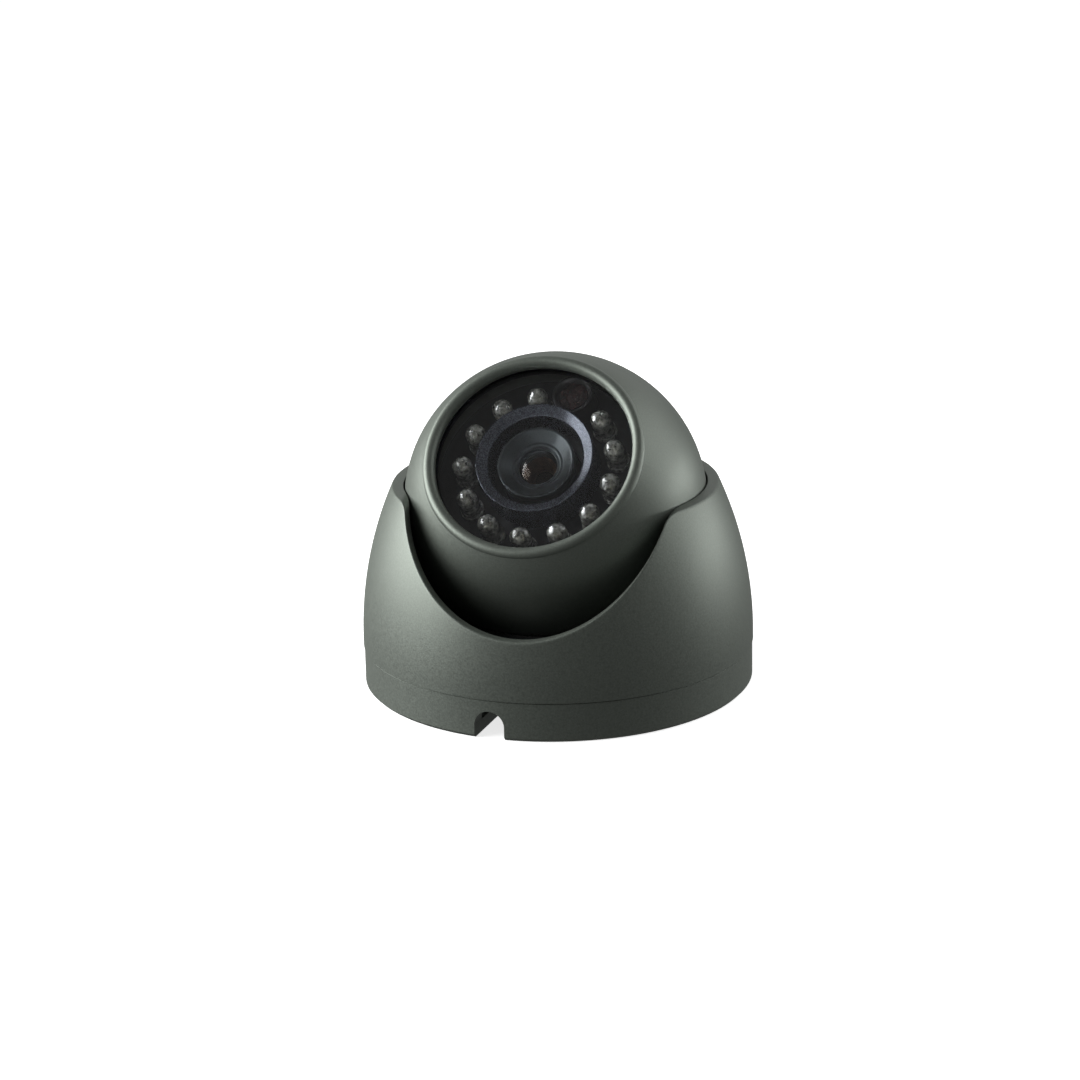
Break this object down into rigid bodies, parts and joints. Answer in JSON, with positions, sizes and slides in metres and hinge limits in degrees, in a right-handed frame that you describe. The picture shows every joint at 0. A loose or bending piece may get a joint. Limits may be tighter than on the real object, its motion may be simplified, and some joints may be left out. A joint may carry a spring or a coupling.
{
  "type": "dome security camera",
  "caption": "Round ceiling-mount dome camera: a ball with a glazed front, infrared lamps and a small lens, clamped in a cover with a U-shaped front cut, on a ring base with a cable notch.",
  "frame": {"origin": "centre of the base's underside, on the mounting surface", "axes": "+Z out of the mounting surface; the cover's U-shaped cut faces -Y; +X to the right when facing the cut"},
  "size_m": [0.094, 0.094, 0.0797],
  "materials": {
    "base_paint": "fine metallic powder coat",
    "cover_paint": "fine metallic powder coat",
    "ball_paint": "satin metallic coat",
    "seal_rubber": "matte",
    "clamp_plastic": "moulded",
    "liner_plastic": "moulded",
    "screw_steel": "plated",
    "window_glass": "polished",
    "black_aluminium": "black anodised",
    "lens_black": "black anodised",
    "lamp_board": "black solder mask",
    "lamp_epoxy": "clear epoxy",
    "sensor_red": "resin faced",
    "hood_plastic": "moulded",
    "shade_plastic": "moulded",
    "header_plastic": "moulded",
    "ribbon": "flat cable",
    "brass": "turned",
    "plate_steel": "stamped",
    "circuit_board": "green solder mask",
    "image_sensor": "glass-topped package",
    "chip_plastic": "moulded",
    "capacitor_can": "sleeved can",
    "holder_plastic": "moulded",
    "filter_glass": "coated",
    "lens_glass": "coated"
  },
  "bodies": {
    "base": {"base_ring": "base_paint", "base_gasket": "seal_rubber"},
    "cover": {"dome_cover": "cover_paint", "clamp_ring": "clamp_plastic", "friction_liner": "liner_plastic", "clamp_screws": "screw_steel", "lock_screws": "screw_steel"},
    "bush": {"lead_bush": "seal_rubber", "bush_seal": "seal_rubber", "bush_clip": "screw_steel"},
    "ball": {"front_shell": "ball_paint", "rear_shell": "ball_paint", "shell_seal": "seal_rubber", "shell_screws": "screw_steel", "window_glass": "window_glass", "window_gasket": "seal_rubber", "window_retainer": "black_aluminium", "led_board": "lamp_board", "ir_led_01": "lamp_epoxy", "ir_led_02": "lamp_epoxy", "ir_led_03": "lamp_epoxy", "ir_led_04": "lamp_epoxy", "ir_led_05": "lamp_epoxy", "ir_led_06": "lamp_epoxy", "ir_led_07": "lamp_epoxy", "ir_led_08": "lamp_epoxy", "ir_led_09": "lamp_epoxy", "ir_led_10": "lamp_epoxy", "ir_led_11": "lamp_epoxy", "ir_led_12": "lamp_epoxy", "photo_sensor": "sensor_red", "sensor_hood": "hood_plastic", "lens_shade": "shade_plastic", "led_header": "header_plastic", "led_harness": "ribbon", "board_posts": "brass", "carrier_plate": "plate_steel", "carrier_screws": "screw_steel", "board_spacers": "brass", "board_screws": "screw_steel", "board_nuts": "screw_steel", "sensor_board": "circuit_board", "image_sensor": "image_sensor", "processor_chip": "chip_plastic", "lens_holder": "holder_plastic", "holder_screws": "screw_steel", "ir_cut_filter": "filter_glass", "power_board": "circuit_board", "power_capacitors": "capacitor_can", "power_inductor": "chip_plastic", "lead_header": "header_plastic"},
    "lens": {"lens_barrel": "lens_black", "lens_front_element": "lens_glass", "lens_rear_element": "lens_glass", "lens_lock_ring": "lens_black"}
  },
  "joints": [
    {"name": "pan", "type": "hinge", "parent": "base", "child": "cover", "pos_m": [0, 0, 0.012], "axis": [0, 0, 1], "range_deg": [-175, 175]},
    {"name": "tilt", "type": "hinge", "parent": "cover", "child": "bush", "pos_m": [0, 0, 0.0432], "axis": [-0.9969, 0.0785, 0], "range_deg": [-27.9, 47.1]},
    {"name": "roll", "type": "hinge", "parent": "bush", "child": "ball", "pos_m": [0, 0, 0.0432], "axis": [-0.0575, -0.7303, 0.6807], "range_deg": [-175, 175]},
    {"name": "focus", "type": "hinge", "parent": "ball", "child": "lens", "pos_m": [-0.00081, -0.01022, 0.05273], "axis": [-0.0575, -0.7303, 0.6807], "range_deg": [-180, 180]}
  ]
}
